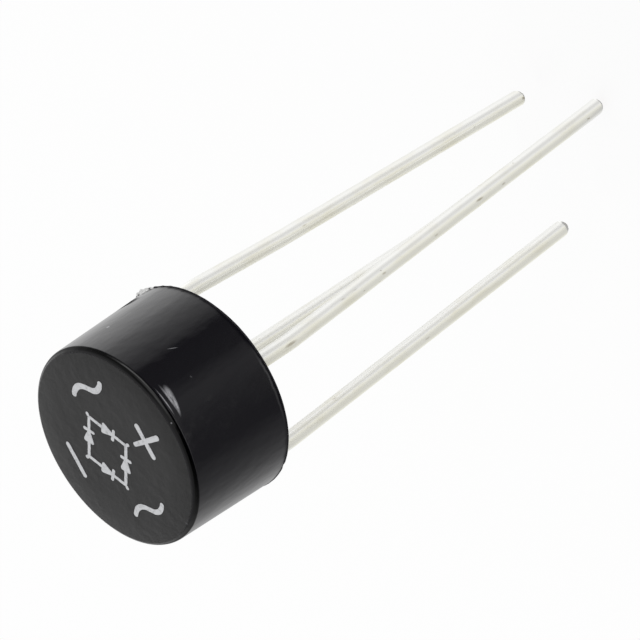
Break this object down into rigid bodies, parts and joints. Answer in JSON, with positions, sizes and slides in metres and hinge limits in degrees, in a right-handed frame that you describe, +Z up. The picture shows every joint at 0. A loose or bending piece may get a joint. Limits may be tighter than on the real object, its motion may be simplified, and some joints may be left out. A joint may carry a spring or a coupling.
{
  "type": "bridge rectifier",
  "caption": "Round moulded through-hole bridge rectifier that turns AC into DC, with plus, minus and two AC wire leads.",
  "frame": {"origin": "centre of the seating face, the flat underside of the moulding, on the axis of the round body", "axes": "+Z up through the marked face, the leads run towards -Z; X and Y along the sides of the lead square, with the plus lead at (+X, +Y) and the minus lead at (-X, -Y)"},
  "size_m": [0.0096, 0.0096, 0.029],
  "materials": {
    "moulding_epoxy": "black moulded epoxy, satin on the marked face and glossy round the wall",
    "tinned_copper": "bright tin plate with drawing streaks",
    "silicon": "glass-passivated silicon die",
    "solder": "reflowed high-lead solder",
    "coating": "cured junction coating resin"
  },
  "bodies": {
    "root": {"ac_terminal_left": "tinned_copper", "ac_terminal_right": "tinned_copper", "coating_minus_left": "coating", "coating_minus_right": "coating", "coating_plus_left": "coating", "coating_plus_right": "coating", "die_minus_left": "silicon", "die_minus_right": "silicon", "die_plus_left": "silicon", "die_plus_right": "silicon", "minus_terminal": "tinned_copper", "moulded_body": "moulding_epoxy", "plus_terminal": "tinned_copper", "solder_minus_left_lower": "solder", "solder_minus_left_upper": "solder", "solder_minus_right_lower": "solder", "solder_minus_right_upper": "solder", "solder_plus_left_lower": "solder", "solder_plus_left_upper": "solder", "solder_plus_right_lower": "solder", "solder_plus_right_upper": "solder"}
  },
  "joints": []
}
